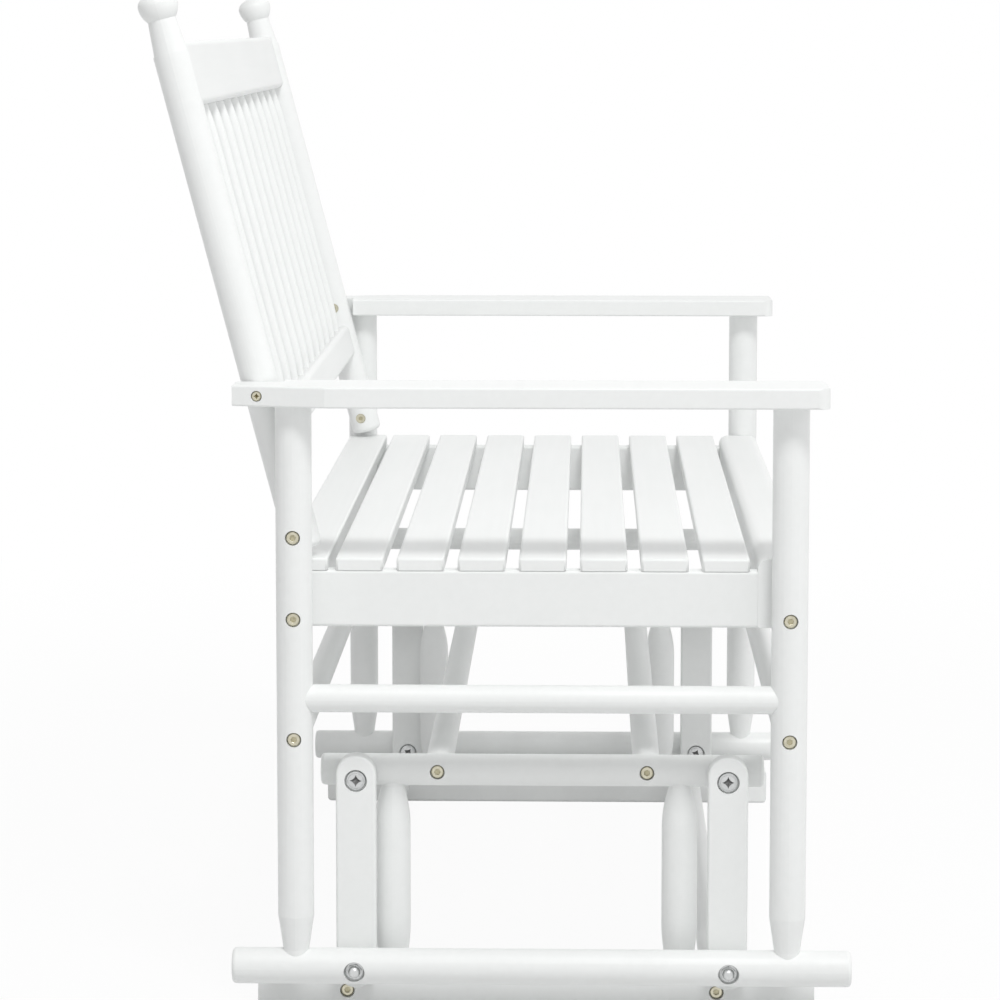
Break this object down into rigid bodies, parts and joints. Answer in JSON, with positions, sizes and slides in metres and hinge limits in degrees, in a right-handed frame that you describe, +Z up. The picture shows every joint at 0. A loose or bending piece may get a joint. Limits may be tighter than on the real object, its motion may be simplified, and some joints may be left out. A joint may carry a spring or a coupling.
{
  "type": "glider bench",
  "caption": "White wooden porch glider bench with slatted seat, armrests and spindle back, hung on flat link arms from a floor base.",
  "frame": {"origin": "on the floor, under the middle of the bench's outline", "axes": "+X towards the sitter's left, +Y towards the back of the bench, +Z up; the sitter faces -Y"},
  "size_m": [1.126, 0.6872, 0.999],
  "materials": {
    "white_wood": "white paint, satin",
    "brass_bolt": "brass plated, slightly dull",
    "zinc_bolt": "zinc plated",
    "nylon_washer": "plain nylon"
  },
  "bodies": {
    "base": {"base_beam_left": "white_wood", "base_beam_right": "white_wood", "base_rail_left": "white_wood", "base_rail_right": "white_wood", "base_spindle_front_left": "white_wood", "base_spindle_front_right": "white_wood", "base_spindle_rear_left": "white_wood", "base_spindle_rear_right": "white_wood", "base_cross_lower_front": "white_wood", "base_cross_lower_rear": "white_wood", "base_cross_upper_front": "white_wood", "base_cross_upper_rear": "white_wood", "base_bolts": "brass_bolt", "top_pivot_bolts": "zinc_bolt", "top_pivot_nuts": "zinc_bolt", "top_pivot_washers": "nylon_washer"},
    "link_front_left": {"link_front_left": "white_wood"},
    "link_front_right": {"link_front_right": "white_wood"},
    "link_rear_left": {"link_rear_left": "white_wood"},
    "link_rear_right": {"link_rear_right": "white_wood"},
    "seat_frame": {"bottom_pivot_bolts": "zinc_bolt", "bottom_pivot_nuts": "zinc_bolt", "bottom_pivot_washers": "nylon_washer", "runner_left": "white_wood", "runner_right": "white_wood", "leg_front_left": "white_wood", "leg_front_right": "white_wood", "leg_rear_left": "white_wood", "leg_rear_right": "white_wood", "side_stretcher_left": "white_wood", "side_stretcher_right": "white_wood", "cross_stretcher_front": "white_wood", "cross_stretcher_rear": "white_wood", "seat_rail_left": "white_wood", "seat_rail_right": "white_wood", "front_apron": "white_wood", "rear_rail": "white_wood", "seat_slat_1": "white_wood", "seat_slat_2": "white_wood", "seat_slat_3": "white_wood", "seat_slat_4": "white_wood", "seat_slat_5": "white_wood", "seat_slat_6": "white_wood", "seat_slat_7": "white_wood", "seat_slat_8": "white_wood", "arm_left": "white_wood", "arm_right": "white_wood", "back_post_left": "white_wood", "back_post_right": "white_wood", "crest_rail": "white_wood", "back_bottom_rail": "white_wood", "back_spindles": "white_wood", "leg_bolts": "brass_bolt", "arm_screws": "brass_bolt", "post_barrel_nuts": "brass_bolt"}
  },
  "joints": [
    {"name": "swing", "type": "hinge", "parent": "base", "child": "link_rear_left", "pos_m": [0.496, 0.13739, 0.2355], "axis": [1, 0, 0], "range_deg": [-20, 20]},
    {"name": "swing_front_left", "type": "hinge", "parent": "base", "child": "link_front_left", "pos_m": [0.496, -0.22461, 0.2355], "axis": [1, 0, 0], "range_deg": [-20, 20]},
    {"name": "swing_front_right", "type": "hinge", "parent": "base", "child": "link_front_right", "pos_m": [-0.496, -0.22461, 0.2355], "axis": [1, 0, 0], "range_deg": [-20, 20]},
    {"name": "swing_rear_right", "type": "hinge", "parent": "base", "child": "link_rear_right", "pos_m": [-0.496, 0.13739, 0.2355], "axis": [1, 0, 0], "range_deg": [-20, 20]},
    {"name": "seat_level", "type": "hinge", "parent": "link_rear_left", "child": "seat_frame", "pos_m": [0.496, 0.13739, 0.0545], "axis": [1, 0, 0], "range_deg": [-20, 20]}
  ],
  "couplings": [
    {"joint": "swing_front_left", "follows": "swing", "ratio": 1},
    {"joint": "swing_front_right", "follows": "swing", "ratio": 1},
    {"joint": "swing_rear_right", "follows": "swing", "ratio": 1},
    {"joint": "seat_level", "follows": "swing", "ratio": -1}
  ]
}
